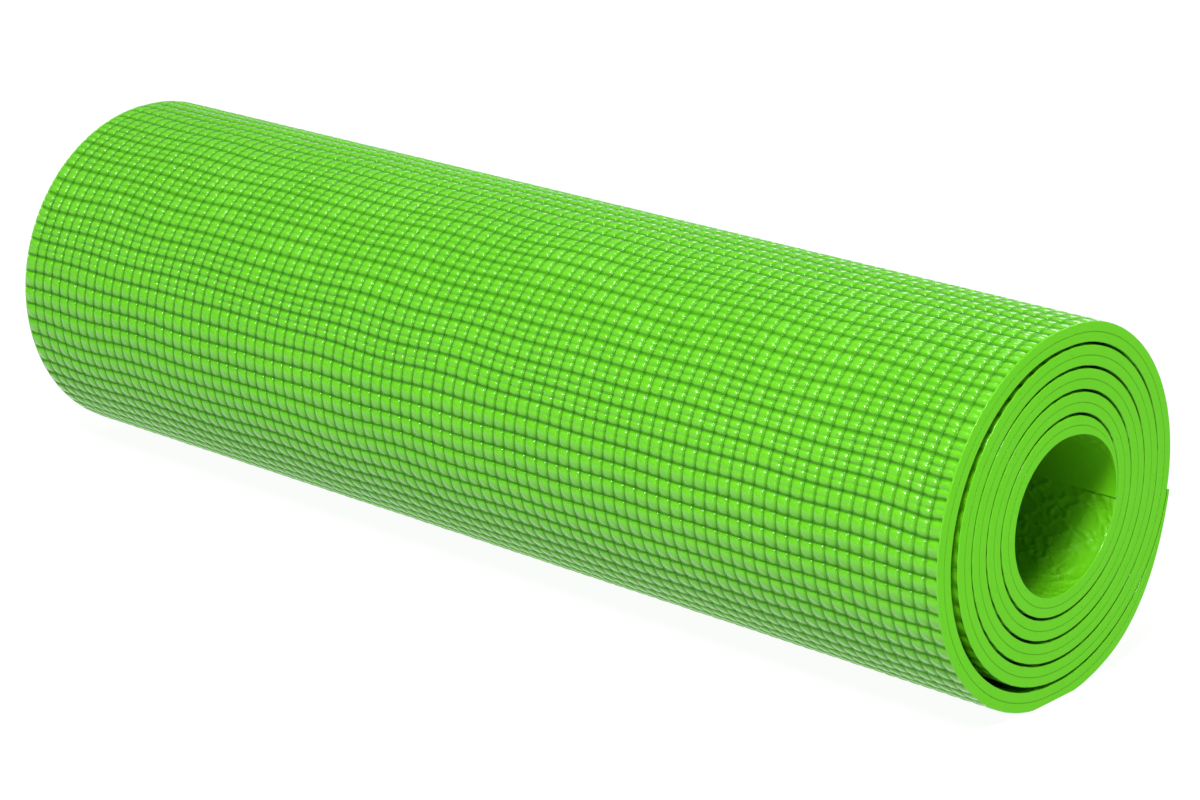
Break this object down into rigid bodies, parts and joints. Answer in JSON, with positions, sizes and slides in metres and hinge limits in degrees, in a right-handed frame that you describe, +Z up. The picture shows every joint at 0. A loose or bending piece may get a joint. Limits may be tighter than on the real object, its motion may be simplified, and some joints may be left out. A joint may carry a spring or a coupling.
{
  "type": "rolled exercise mat",
  "caption": "Thick foam exercise mat wound into a hollow roll, with a pillow-embossed outer face and a loose end at the back that peels open.",
  "frame": {"origin": "on the surface the roll rests on, under the middle of the roll's length and depth", "axes": "+X along the roll, +Z up, +Y to the back, where the loose end lies; -Y is the plain front"},
  "size_m": [0.61, 0.1875, 0.1781],
  "materials": {
    "outer_foam": "satin closed-cell foam with a pillow emboss",
    "inner_foam": "satin closed-cell foam with a fine crackle emboss",
    "scrim": "open woven yarn"
  },
  "bodies": {
    "roll": {"roll_outer_foam": "outer_foam", "roll_scrim": "scrim", "roll_inner_foam": "inner_foam"},
    "end_1": {"end_1_outer_foam": "outer_foam", "end_1_scrim": "scrim", "end_1_inner_foam": "inner_foam"},
    "end_2": {"end_2_outer_foam": "outer_foam", "end_2_scrim": "scrim", "end_2_inner_foam": "inner_foam"},
    "end_3": {"end_3_outer_foam": "outer_foam", "end_3_scrim": "scrim", "end_3_inner_foam": "inner_foam"},
    "end_4": {"end_4_outer_foam": "outer_foam", "end_4_scrim": "scrim", "end_4_inner_foam": "inner_foam"}
  },
  "joints": [
    {"name": "end_bend_1", "type": "hinge", "parent": "roll", "child": "end_1", "pos_m": [0, 0.01688, 0], "axis": [-1, 0, 0], "range_deg": [0, 15], "stiffness_Nm_per_rad": 1.5, "springref_deg": -8.59},
    {"name": "end_bend_2", "type": "hinge", "parent": "end_1", "child": "end_2", "pos_m": [0, 0.04419, 0.00936], "axis": [-1, 0, 0], "range_deg": [0, 15], "stiffness_Nm_per_rad": 1.5, "springref_deg": -8.59},
    {"name": "end_bend_3", "type": "hinge", "parent": "end_2", "child": "end_3", "pos_m": [0, 0.06744, 0.02648], "axis": [-1, 0, 0], "range_deg": [0, 15], "stiffness_Nm_per_rad": 1.5, "springref_deg": -8.59},
    {"name": "end_bend_4", "type": "hinge", "parent": "end_3", "child": "end_4", "pos_m": [0, 0.08448, 0.04978], "axis": [-1, 0, 0], "range_deg": [0, 15], "stiffness_Nm_per_rad": 1.5, "springref_deg": -8.59}
  ],
  "couplings": [
    {"joint": "end_bend_2", "follows": "end_bend_1", "ratio": 1},
    {"joint": "end_bend_3", "follows": "end_bend_1", "ratio": 1},
    {"joint": "end_bend_4", "follows": "end_bend_1", "ratio": 1}
  ]
}
